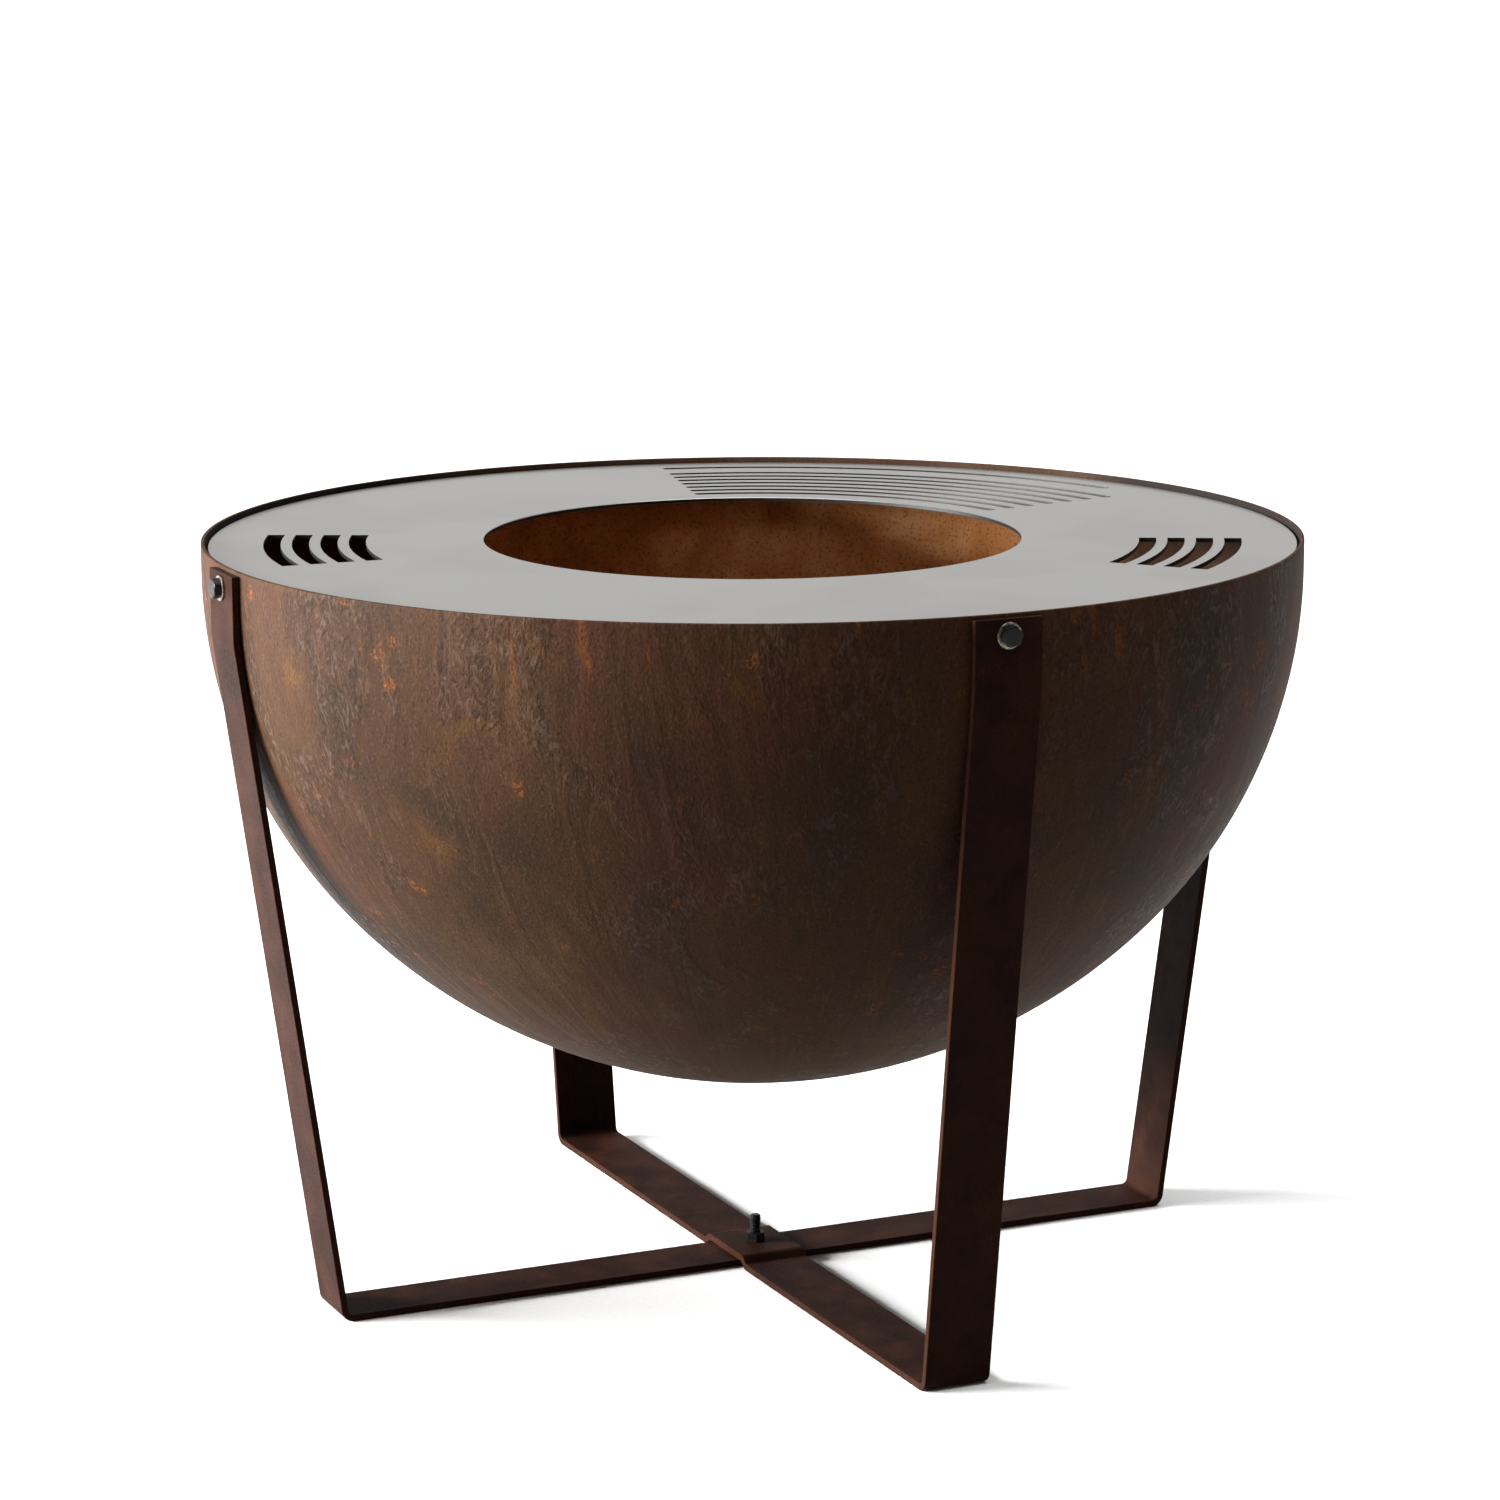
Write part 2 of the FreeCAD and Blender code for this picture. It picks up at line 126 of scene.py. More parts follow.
@dataclass
class Tree:
    """A material being built, with the patterns that several finishes share."""

    name: str
    material: bpy.types.Material = field(init=False)

    def __post_init__(self) -> None:
        """Start an empty material."""
        self.material = bpy.data.materials.new(self.name)
        self.material.use_nodes = True
        self.material.node_tree.nodes.clear()

    def add(
        self,
        kind: Kind,
        inputs: Mapping[Any, Any] | Sequence[Any] = (),
        out: Any = 0,
        stops: Sequence[tuple[float, str]] = (),
        **settings: Any,
    ) -> Socket | None:
        """Add one node with its settings, values and links.

        Args:
            kind: The node's type.
            inputs: Values in the order of the node's inputs, or values by input name or number. A
                socket is linked, and a hex colour is turned into linear light.
            out: Name or number of the output that is wanted.
            stops: Places and hex colours of a ramp, in place of its own two.
            **settings: The node's own properties, on top of the usual ones for its type.

        Returns:
            The wanted output, or nothing from a node that has none.
        """
        tree = self.material.node_tree
        node = tree.nodes.new(kind.value)
        for name, value in (USUAL.get(kind, {}) | settings).items():
            setattr(node, name, value)
        pairs = inputs.items() if isinstance(inputs, Mapping) else enumerate(inputs)
        for place, value in pairs:
            if isinstance(value, Socket):
                tree.links.new(value, node.inputs[place])
            else:
                node.inputs[place].default_value = linear(value) if isinstance(value, str) else value
        for i, (place, colour) in enumerate(stops):
            elements = node.color_ramp.elements
            element = elements[i] if i < 2 else elements.new(place)
            element.position, element.color = place, linear(colour)
        return node.outputs[out] if node.outputs else None

    def spread(
        self,
        place: Socket,
        grain: float,
        stretch: Sequence[float] = (1, 1, 1),
        detail: float = 4.0,
        bend: float = 0.0,
    ) -> Socket:
        """Random variation that can be drawn out along an axis.

        Args:
            place: The coordinate, in metres.
            grain: Size of one blotch, in metres.
            stretch: Factor for each axis; a small one draws the pattern out along that axis.
            detail: How many finer layers are added.
            bend: How far the pattern is bent by itself.

        Returns:
            A value round one half.
        """
        place = self.add(Kind.VECTOR, (place, tuple(stretch)))
        return self.add(
            Kind.NOISE, {"Vector": place, "Scale": 1.0 / grain, "Detail": detail, "Distortion": bend}
        )

    def patches(self, place: Socket, grain: float, low: float, high: float, **form: Any) -> Socket:
        """Random patches with soft edges.

        Args:
            place: The coordinate, in metres.
            grain: Size of one patch, in metres.
            low: Level of the variation at which a patch begins.
            high: Level from which it is full.
            **form: The variation's stretch, detail and bend.

        Returns:
            1 in a patch and 0 outside.
        """
        return self.add(Kind.RANGE, (self.spread(place, grain, **form), low, high))

    def line(self, value: Socket, width: float) -> Socket:
        """A thin line where a variation passes one half.

        Args:
            value: The variation.
            width: How far from one half the line still shows.

        Returns:
            1 on the line and 0 away from it.
        """
        away = self.add(Kind.MATH, (value, 0.5), operation="SUBTRACT")
        away = self.add(Kind.MATH, (away,), operation="ABSOLUTE")
        return self.add(Kind.RANGE, (away, width, 0.0))

    def product(self, *values: Any) -> Socket:
        """All the values multiplied together, so that a mask shows only where each of them does."""
        return reduce(lambda so_far, value: self.add(Kind.MATH, (so_far, value)), values)

    def coats(self, ground: Any, *layers: tuple[str, Any]) -> Socket:
        """Lay colours over one another.

        Args:
            ground: The lowest colour.
            *layers: Colour and share of each coat, in the order in which they are laid.

        Returns:
            The colour that shows.
        """
        for colour, share in layers:
            ground = self.add(Kind.MIX, {0: share, 6: ground, 7: colour}, out=2)
        return ground

    def carved(self, *layers: tuple[Any, float]) -> Socket:
        """Add up reliefs.

        Args:
            *layers: Height between 0 and 1, and what a height of 1 is in metres.

        Returns:
            The normal.
        """
        normal: dict[str, Socket] = {}
        for height, depth in layers:
            normal = {"Normal": self.add(Kind.BUMP, {"Height": height, "Distance": depth} | normal)}
        return normal["Normal"]

    def finished(self, **inputs: Any) -> bpy.types.Material:
        """Close the tree with the surface shader.

        Args:
            **inputs: The shader's inputs, with underscores for spaces.

        Returns:
            The material.
        """
        named = {key.replace("_", " "): value for key, value in inputs.items()}
        self.add(Kind.OUTPUT, {"Surface": self.add(Kind.SURFACE, named)})
        return self.material


# ------------------------------------------------------------------ surfaces on grids
def polar_points(radius: np.ndarray, height: np.ndarray, turn: float = 0.0) -> np.ndarray:
    """Points of a surface round an axis: at angle a, (radius cos a, radius sin a, height).

    Args:
        radius: Distance from the axis, one row for each level and one column for each angle.
        height: Height along the axis, of the same shape.
        turn: Angle of the first column, in radians.

    Returns:
        Points, of shape rows by columns by 3.
    """
    angle = turn + np.arange(radius.shape[1]) * (2 * math.pi / radius.shape[1])
    return np.stack([radius * np.cos(angle), radius * np.sin(angle), height], axis=2)


def closed_round(points: np.ndarray) -> tuple[np.ndarray, list[np.ndarray]]:
    """Close a grid that runs round an axis into a shell, with one point at either end.

    Args:
        points: Grid of points, whose first and last rows are the rings next to the poles.

    Returns:
        The vertices, and the faces as an array of quads and an array of triangles.
    """
    rows, columns, _ = points.shape
    near, far = points[0].mean(axis=0), points[-1].mean(axis=0)
    vertices = np.concatenate([points.reshape(-1, 3), near[None], far[None]])
    index = np.arange(rows * columns).reshape(rows, columns)
    after = np.roll(index, -1, axis=1)
    quads = np.stack([index[:-1], after[:-1], after[1:], index[1:]], axis=2).reshape(-1, 4)
    first = np.full(columns, rows * columns)
    caps = [np.stack([first, after[0], index[0]], axis=1)]
    caps.append(np.stack([first + 1, index[-1], after[-1]], axis=1))
    return vertices, [quads, np.concatenate(caps)]


def mesh_object(
    name: str, vertices: np.ndarray, faces: Sequence[np.ndarray], sharp: float
) -> bpy.types.Object:
    """Put a surface into a new object at the origin.

    Args:
        name: The piece's name.
        vertices: Its points, in metres.
        faces: Arrays of corner numbers, one array for each number of corners.
        sharp: Angle in degrees past which an edge stays crisp.

    Returns:
        The object.
    """
    mesh = bpy.data.meshes.new(name)
    mesh.from_pydata(vertices, [], [face for group in faces for face in group.tolist()])
    mesh.polygons.foreach_set("use_smooth", np.ones(len(mesh.polygons), bool))
    mesh.set_sharp_from_angle(angle=math.radians(sharp))
    piece = bpy.data.objects.new(name, mesh)
    bpy.context.scene.collection.objects.link(piece)
    log.info("%s: %d faces", name, len(mesh.polygons))
    return piece


# ------------------------------------------------------------------ finishes
@dataclass(frozen=True)
class WeatheredSteel:
    """Rust patina on pressed steel that has stood outdoors: matt brown oxide with run marks.

    It gives the eye a warm brown in soft clouds, with faint veins that run down the wall,
    patches of crackled grey scale, amber blooms and a few orange drips under the rim.
    """

    bowl_radius: float
    rim_top: float
    bottom: float
    name: str = "weathered pressed steel"
    cloud: float = 120 * MM
    vein: float = 30 * MM         # between two veins
    scale: float = 6.5 * MM       # flakes of scale
    grain: float = 1.9 * MM       # crust of the oxide
    drip: float = 12 * MM
    drip_length: float = 65 * MM
    slant: float = 0.3            # radians that a run mark leans in a metre of height
    drip_start: float = 0.02      # rim down to where the drips are full
    ash_and_floor_light_top: float = 0.11         # bottom of the bowl up to where the pale ash and painted floor bounce light end
    ash_and_floor_light_full: float = 0.01

    def wall(self, t: Tree, place: Socket, height: Socket) -> Socket:
        """Coordinate on the wall: round a circle of the bowl's radius, and up.

        Args:
            t: The material being built.
            place: The point in space.
            height: Its height.

        Returns:
            The coordinate, in metres.
        """
        level = t.add(Kind.VECTOR, (place, (1, 1, 0)))
        level = t.add(Kind.VECTOR, (level,), operation="NORMALIZE")
        level = t.add(Kind.VECTOR, {0: level, "Scale": self.bowl_radius}, operation="SCALE")
        lean = t.product(height, self.slant)
        level = t.add(Kind.TURNED, {"Vector": level, "Angle": lean}, rotation_type="Z_AXIS")
        upright = t.add(Kind.JOINED, {"Z": height})
        return t.add(Kind.VECTOR, (level, upright), operation="ADD")

    def material(self) -> bpy.types.Material:
        """Build the finish.

        Returns:
            The material.
        """
        t = Tree(self.name)
        place = t.add(Kind.PLACE, out="Object")
        height = t.add(Kind.APART, (place,), out="Z")
        wall = self.wall(t, place, height)

        clouds = t.spread(place, self.cloud, (1, 1, 0.7), 6, 0.6)
        brown = t.add(
            Kind.RAMP,
            (clouds,),
            stops=[(0.34, "#2c1c11"), (0.44, "#382414"), (0.54, "#3d2718"), (0.66, "#47311e")],
        )
        plum = t.patches(place, 0.1, 0.47, 0.6, stretch=(1, 1, 0.6), bend=0.5)
        amber = t.patches(place, 0.075, 0.6, 0.74, detail=3, bend=0.4)
        flow = t.spread(wall, self.vein, (1, 1, 0.24), 5, 1.2)
        broken = t.patches(wall, 0.06, 0.48, 0.6, detail=3)
        veins = t.product(t.line(flow, 0.014), broken)
        shaded = t.add(Kind.RANGE, (flow, 0.52, 0.38))
        grain = t.spread(place, self.grain, (1, 1, 0.7), 5)
        dark_grain = t.add(Kind.RANGE, (grain, 0.48, 0.3))
        pale_grain = t.add(Kind.RANGE, (grain, 0.55, 0.76))

        crusted = t.patches(place, 0.085, 0.5, 0.6, stretch=(1, 1, 0.65), detail=5, bend=0.8)
        scale = t.spread(place, self.scale, (1, 1, 0.6), 7, 1.6)
        flakes = t.product(t.add(Kind.RANGE, (scale, 0.55, 0.63)), crusted)
        pits = t.product(t.add(Kind.RANGE, (scale, 0.46, 0.38)), crusted)
        cracks = t.product(t.line(scale, 0.016), crusted)

        speckle = t.patches(place, 2.4 * MM, 0.46, 0.6)
        bloom = t.product(t.patches(place, 0.034, 0.64, 0.71, detail=3), speckle)
        drip_ends = (self.rim_top - self.drip_length, self.rim_top - self.drip_start)
        near_rim = t.add(Kind.RANGE, (height, *drip_ends))
        runs = t.patches(wall, self.drip, 0.62, 0.72, stretch=(1, 1, 0.13), bend=0.3)
        drips = t.product(runs, near_rim, t.patches(wall, 0.14, 0.48, 0.6, detail=2))
        # pale ash, made paler still as painted bounce light from the floor: lighter towards the bottom
        ash_and_floor_light = t.add(Kind.RANGE, (height, self.bottom + self.ash_and_floor_light_top, self.bottom + self.ash_and_floor_light_full))

        colour = t.coats(
            brown,
            ("#43251a", t.product(plum, 0.5)),
            ("#583a15", t.product(amber, 0.55)),
            ("#20150d", t.product(shaded, 0.28)),
            ("#654e3a", t.product(veins, 0.26)),
            ("#170e09", t.product(dark_grain, 0.6)),
            ("#66513f", t.product(pale_grain, 0.36)),
            ("#5c4f4c", t.product(flakes, 0.24)),
            ("#140c08", t.product(pits, 0.55)),
            ("#0f0906", t.product(cracks, 0.4)),
            ("#7d451b", t.product(bloom, 0.7)),
            ("#7a441b", t.product(drips, t.add(Kind.RANGE, (grain, 0.3, 0.6, 0.15, 0.65)))),
            # ash with painted bounce light from the floor, on the bottom of the bowl
            ("#59452f", t.product(ash_and_floor_light, 0.45)),
        )
        normal = t.carved(
            (flow, 1.0 * MM), (t.product(scale, crusted), 0.75 * MM), (grain, 0.4 * MM)
        )
        rough = t.add(Kind.RANGE, (flakes, 0, 1, 0.66, 0.54))
        return t.finished(
            Base_Color=colour, Roughness=rough, Normal=normal, Specular_IOR_Level=0.08
        )


@dataclass(frozen=True)
class FiredSteel:
    """Inside of the bowl: steel burnt by the fire, covered by dry orange-brown oxide.

    The fire is kept under the grate, so the wall behind it is burnt clean; elsewhere the wall
    just under the plate is painted near black as painted shade under the plate, and a black band
    of painted shadow runs along the plate's edge.
    """

    heat: float                   # direction of the grate, in degrees
    bowl_radius: float
    plate_underside: float
    name: str = "fired steel with orange oxide"
    blotch: float = 45 * MM
    grain: float = 2.2 * MM
    clean_from: float = 0.62      # shares of the bowl's radius between which the painted shade under the plate ends
    clean_to: float = 0.86
    under_plate_shade: tuple[float, float] = (0.2, 0.12)      # painted shade under the plate: below its underside, where it begins and is full
    depths: tuple[float, float] = (0.15, 0.25)   # and the dark lower part
    shadow: tuple[float, float] = (0.045, 0.01)  # and the black band of painted shadow by the plate's edge

    def material(self) -> bpy.types.Material:
        """Build the finish.

        Returns:
            The material.
        """
        t = Tree(self.name)
        place = t.add(Kind.PLACE, out="Object")
        height = t.add(Kind.APART, (place,), out="Z")
        hot_way = (math.cos(math.radians(self.heat)), math.sin(math.radians(self.heat)), 0)
        toward_heat = t.add(Kind.VECTOR, (place, hot_way), out="Value", operation="DOT_PRODUCT")
        ends = (self.clean_from * self.bowl_radius, self.clean_to * self.bowl_radius)
        clean = t.add(Kind.RANGE, (toward_heat, *ends))
        shade_away_from_grate = t.add(Kind.RANGE, (clean, 0, 1, 0.94, 0.0))
        high, deep, edge = (
            t.add(Kind.RANGE, (height, *(self.plate_underside - drop for drop in drops)))
            for drops in (self.under_plate_shade, self.depths, self.shadow)
        )
        clouds = t.spread(place, self.blotch, detail=6, bend=0.5)
        grain = t.spread(place, self.grain, detail=5)
        rust = t.add(
            Kind.RAMP,
            (clouds,),
            stops=[(0.33, "#c07f45"), (0.5, "#e0975a"), (0.68, "#f0b27a")],
        )
        colour = t.coats(
            rust,
            ("#573520", t.product(deep, t.add(Kind.RANGE, (clouds, 0.68, 0.36, 0.45, 0.95)))),
            ("#5a3720", t.add(Kind.RANGE, (grain, 0.5, 0.32, 0, 0.5))),
            # painted shade: near black on the wall just under the plate, away from the grate
            ("#0c0907", t.product(shade_away_from_grate, high)),
            # painted shadow: black band just under the plate's edge
            ("#140d0a", t.product(edge, 0.95)),
        )
        normal = t.carved((clouds, 0.6 * MM), (grain, 0.2 * MM))
        return t.finished(
            Base_Color=colour, Roughness=0.85, Normal=normal, Specular_IOR_Level=0.2
        )


@dataclass(frozen=True)
class RolledBar:
    """Hot-rolled flat bar left to rust: dark maroon faces with rubbed, rust-brown edges.

    Faint scratches run along the bar, where it was drawn over the bench.
    """

    across: Axis
    half_width: float
    name: str = "rusted hot-rolled bar"
    scratch: float = 1.1 * MM
    grain: float = 1.6 * MM
    blotch: float = 38 * MM
    rub: float = 1.1 * MM         # how far from an edge the rust shows through
    ragged: float = 3.0 * MM      # how far that border wanders

    def material(self) -> bpy.types.Material:
        """Build the finish.

        Returns:
            The material.
        """
        t = Tree(f"{self.name} across {self.across.name}")
        place = t.add(Kind.PLACE, out="Object")
        offset = t.add(Kind.APART, (place,), out=self.across.name)
        offset = t.add(Kind.MATH, (offset,), operation="ABSOLUTE")
        lengthwise = tuple(1.0 if i == self.across.value else 0.035 for i in range(3))
        clouds = t.spread(place, self.blotch, detail=5, bend=0.4)
        scratches = t.spread(place, self.scratch, lengthwise, 3)
        grain = t.spread(place, self.grain)
        bloom = t.product(
            t.patches(place, 0.03, 0.56, 0.7, detail=3), t.add(Kind.RANGE, (grain, 0.45, 0.62))
        )
        ragged = t.spread(place, 5 * MM)
        near_edge = t.add(Kind.MATH, (ragged, self.ragged, offset), operation="MULTIPLY_ADD")
        edge = self.half_width + self.ragged / 2
        rubbed = t.add(Kind.RANGE, (near_edge, edge - self.rub, edge - 0.3 * MM))
        maroon = t.add(
            Kind.RAMP, (clouds,), stops=[(0.34, "#1f100b"), (0.5, "#28160f"), (0.64, "#321d15")]
        )
        colour = t.coats(
            maroon,
            ("#3f2720", t.add(Kind.RANGE, (scratches, 0.6, 0.74, 0, 0.35))),
            ("#110806", t.add(Kind.RANGE, (grain, 0.44, 0.3, 0, 0.6))),
            ("#4c281a", t.product(bloom, 0.5)),
            ("#3a2118", t.product(rubbed, t.add(Kind.RANGE, (grain, 0.3, 0.55, 0.2, 0.5)))),
        )
        normal = t.carved((clouds, 0.15 * MM), (scratches, 0.03 * MM), (grain, 0.055 * MM))
        rough = t.add(Kind.RANGE, (grain, 0.3, 0.7, 0.5, 0.68))
        return t.finished(
            Base_Color=colour, Roughness=rough, Normal=normal, Specular_IOR_Level=0.03
        )


@dataclass(frozen=True)
class GroundPlate:
    """Griddle plate of cut sheet steel, sanded to an even satin and lightly oiled.

    The faces are a plain neutral grey with a fine grain that runs every way; the cut edges and
    the walls of the slots are black oxide.
    """

    name: str = "sanded sheet steel"
    sanding: float = 0.9 * MM
    tint: float = 120 * MM

    def material(self) -> bpy.types.Material:
        """Build the finish.

        Returns:
            The material.
        """
        t = Tree(self.name)
        place = t.add(Kind.PLACE, out="Object")
        clouds = t.spread(place, self.tint, bend=0.3)
        sanded = t.spread(place, self.sanding)
        stains = t.patches(place, 0.022, 0.6, 0.72, detail=5, bend=0.6)
        facing = t.add(Kind.APART, (t.add(Kind.SHAPE, out="True Normal"),), out="Z")
        flat = t.add(Kind.RANGE, (t.add(Kind.MATH, (facing,), operation="ABSOLUTE"), 0.2, 0.5))
        cut = t.add(Kind.RANGE, (flat, 0, 1, 1, 0))
        colour = t.coats(
            "#999894",
            ("#94928f", t.add(Kind.RANGE, (clouds, 0.4, 0.62))),
            ("#7d7b78", t.add(Kind.RANGE, (sanded, 0.5, 0.3, 0, 0.3))),
            ("#827f7b", t.product(stains, 0.07)),
            ("#14100e", cut),
        )
        normal = t.carved((sanded, 0.01 * MM))
        rough = t.add(Kind.RANGE, (clouds, 0.35, 0.65, 0.38, 0.39))
        return t.finished(Base_Color=colour, Metallic=flat, Roughness=rough, Normal=normal)


@dataclass(frozen=True)
class BlackOxide:
    """Bolts and nuts of black-oxidised steel, oiled: near black, with a cool soft shine."""

    name: str = "black-oxide steel"
    wear: float = 3 * MM

    def material(self) -> bpy.types.Material:
        """Build the finish.

        Returns:
            The material.
        """
        t = Tree(self.name)
        place = t.add(Kind.PLACE, out="Object")
        clouds = t.spread(place, self.wear, detail=5)
        colour = t.coats("#08080a", ("#1a1311", t.add(Kind.RANGE, (clouds, 0.5, 0.68))))
        normal = t.carved((clouds, 0.03 * MM))
        rough = t.add(Kind.RANGE, (clouds, 0.35, 0.65, 0.36, 0.52))
        return t.finished(
            Base_Color=colour, Roughness=rough, Normal=normal, Specular_IOR_Level=0.16
        )


@dataclass(frozen=True)
class ZincPlate:
    """Washers of zinc-plated steel gone dull: pale warm grey with cloudy spots."""

    name: str = "dull zinc plate"
    spangle: float = 2.4 * MM

    def material(self) -> bpy.types.Material:
        """Build the finish.

        Returns:
            The material.
        """
        t = Tree(self.name)
        place = t.add(Kind.PLACE, out="Object")
        clouds = t.spread(place, self.spangle)
        colour = t.coats("#7d7468", ("#574e43", t.add(Kind.RANGE, (clouds, 0.42, 0.62))))
        normal = t.carved((clouds, 0.015 * MM))
        rough = t.add(Kind.RANGE, (clouds, 0.35, 0.65, 0.32, 0.5))
        return t.finished(Base_Color=colour, Metallic=1.0, Roughness=rough, Normal=normal)


@dataclass(frozen=True)
class StudioPaper:
    """Pale matt paper that the object stands on."""

    name: str = "pale matt paper"
    fibre: float = 4 * MM

    def material(self) -> bpy.types.Material:
        """Build the finish.

        Returns:
            The material.
        """
        t = Tree(self.name)
        place = t.add(Kind.PLACE, out="Object")
        fibres = t.patches(place, self.fibre, 0.4, 0.6, detail=3)
        colour = t.coats("#fafafa", ("#f6f6f5", fibres))
        return t.finished(Base_Color=colour, Roughness=0.9, Specular_IOR_Level=0.1)


def dress(piece: bpy.types.Object, *materials: bpy.types.Material) -> None:
    """Give a piece its materials in place of those it has.

    Args:
        piece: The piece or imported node.
        *materials: Its materials, in the order of its slots.
    """
    piece.data.materials.clear()
    for material in materials:
        piece.data.materials.append(material)


# ------------------------------------------------------------------ sub-assemblies
@dataclass
class Bowl:
    """Pressed bowl: an upright band at the rim above a shoulder arc and a bottom arc."""

    wall: float = 3 * MM
    band: float = 21.5 * MM       # rim to the foot of the upright band
    rim_radius: float = 0.7 * MM  # rounding of both edges of the rim
    bolt_hole: float = 9 * MM
    bolt_drop: float = 13.5 * MM
    columns: int = 320
    arc_rows: int = 66
    dent: float = 0.45 * MM       # deepest of the shallow waves left by the pressing
    seed: int = 7
    heat: float = 63.0            # direction of the grate, in degrees
    pole: float = 89.6            # degrees below level at the ring next to the pole
    band_rows: int = 6
    edge_rows: int = 5
    lobes: tuple[int, ...] = (3, 5, 8, 13, 21, 34)   # waves round the bowl
    calm_drop: float = 15 * MM    # under the band, where the waves begin
    calm_height: float = 0.08     # and over which they grow
    calm_radius: float = 0.06     # they die out this close to the pole
    drill_sides: int = 32
    drill_ends: tuple[float, float] = (0.01, -0.02)  # from the outer face
    piece: bpy.types.Object = field(init=False)

    def outline(self, inset: float) -> np.ndarray:
        """Points of the wall from near the pole up to the foot of the band, moved inwards by inset.

        The shoulder's circle is centred level with the band's foot and the bottom's on the
        axis; they meet at 45 degrees, where both have the same slope.

        Args:
            inset: Distance from the outer face, in metres.

        Returns:
            Rows of (radius, height).
        """
        low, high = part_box("bowl")
        radius, foot, root = high.x, high.z - self.band, math.sqrt(2)
        below = foot - low.z
        shoulder = (below + radius * (1 - root)) / (2 - root)
        out = radius - shoulder
        bottom = below + out
        down = np.radians(np.linspace(self.pole, 45, self.arc_rows, endpoint=False))
        up = np.radians(np.linspace(45, 0, self.arc_rows, endpoint=False))
        lower = np.stack([np.cos(down), foot + out - 0 * down], axis=1)
        lower[:, 0] *= bottom - inset
        lower[:, 1] -= (bottom - inset) * np.sin(down)
        upper = np.stack(
            [out + (shoulder - inset) * np.cos(up), foot - (shoulder - inset) * np.sin(up)], axis=1
        )
        return np.concatenate([lower, upper])

    def rim(self) -> np.ndarray:
        """Points up the band's outside, over the rounded rim and down the band's inside.

        Both edges are quarter circles: at angle a, edge (cos a, sin a) from the corner's centre.

        Returns:
            Rows of (radius, height).
        """
        _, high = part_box("bowl")
        radius, top, foot = high.x, high.z, high.z - self.band
        edge = self.rim_radius
        rise = np.linspace(foot, top - edge, self.band_rows)
        turn = np.radians(np.linspace(0, 90, self.edge_rows))
        outside = np.stack([np.full(self.band_rows, radius), rise], axis=1)
        over = np.stack([radius - edge + edge * np.cos(turn), top - edge + edge * np.sin(turn)], axis=1)
        back = np.stack([2 * radius - self.wall - over[::-1, 0], over[::-1, 1]], axis=1)
        inside = np.stack([np.full(self.band_rows, radius - self.wall), rise[::-1]], axis=1)
        return np.concatenate([outside[:-1], over, back, inside[1:]])

    def waves(self, height: np.ndarray) -> np.ndarray:
        """Depth of the shallow waves: a sum of cosines of the angle and the height.

        Args:
            height: Height of each row.

        Returns:
            Values from 0 to 1, one row for each height and one column for each angle.
        """
        draw = np.random.default_rng(self.seed)
        angle = np.arange(self.columns) * (2 * math.pi / self.columns)
        total = np.zeros((len(height), self.columns))
        for lobes in self.lobes:
            turns, phase = draw.uniform(4, 60), draw.uniform(0, 2 * math.pi)
            wave = np.cos(lobes * angle[None, :] + turns * height[:, None] + phase)
            total += wave / math.sqrt(lobes)
        return (total - total.min()) / (total.max() - total.min())

    def build(self) -> None:
        """Make the shell, with its four bolt holes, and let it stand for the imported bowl."""
        outer, inner = self.outline(0.0), self.outline(self.wall)[::-1]
        profile = np.concatenate([outer, self.rim(), inner])
        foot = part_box("bowl")[1].z - self.band
        fade = np.clip((foot - self.calm_drop - profile[:, 1]) / self.calm_height, 0, 1)
        fade *= np.clip(profile[:, 0] / self.calm_radius, 0, 1)
        depth = self.dent * self.waves(profile[:, 1]) * fade[:, None]
        radius = profile[:, :1] - depth
        height = np.repeat(profile[:, 1:], self.columns, axis=1)
        vertices, faces = closed_round(polar_points(radius, height))
        self.piece = mesh_object("bowl_shell", vertices, faces, 35)
        self.drill()
        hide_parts("bowl")
        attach(self.piece, ROOT_BODY)

    def drill(self) -> None:
        """Cut the four bolt holes through the band."""
        _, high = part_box("bowl")
        for leg in Leg:
            angle = math.radians(leg.value)
            out = Vector((math.cos(angle), math.sin(angle), 0))
            side = Vector((-out.y, out.x, 0))
            ring = np.arange(self.drill_sides) * (2 * math.pi / self.drill_sides)
            across = np.cos(ring)[:, None] * np.array(side)
            across = across + np.sin(ring)[:, None] * np.array((0, 0, 1))
            across = across * self.bolt_hole / 2 + np.array((0, 0, high.z - self.bolt_drop))
            ends = [across + np.array(out) * (high.x + step) for step in self.drill_ends]
            vertices, faces = closed_round(np.stack(ends))
            drill = mesh_object(f"drill_{leg.word}", vertices, faces, 30)
            cut = self.piece.modifiers.new(leg.word, "BOOLEAN")
            cut.operation, cut.solver, cut.object = "DIFFERENCE", "EXACT", drill
            bpy.context.view_layer.update()
            solid = bpy.data.meshes.new_from_object(
                self.piece.evaluated_get(bpy.context.evaluated_depsgraph_get())
            )
            self.piece.modifiers.clear()
            self.piece.data = solid
            bpy.data.objects.remove(drill)

    def dress(self) -> None:
        """Outside in weathered steel, inside in fired steel."""
        low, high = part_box("bowl")
        outside = WeatheredSteel(high.x, high.z, low.z)
        inside = FiredSteel(self.heat, high.x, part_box("griddle_plate")[0].z)
        dress(self.piece, outside.material(), inside.material())
        polygons = self.piece.data.polygons
        centres, normals = np.zeros(len(polygons) * 3), np.zeros(len(polygons) * 3)
        polygons.foreach_get("center", centres)
        polygons.foreach_get("normal", normals)
        centres, normals = centres.reshape(-1, 3), normals.reshape(-1, 3)
        middle = np.array((0, 0, high.z))
        inward = np.sum((centres - middle) * normals, axis=1) < 0
        inward &= centres[:, 2] < high.z - 0.1 * MM
        polygons.foreach_set("material_index", inward.astype(np.int32))


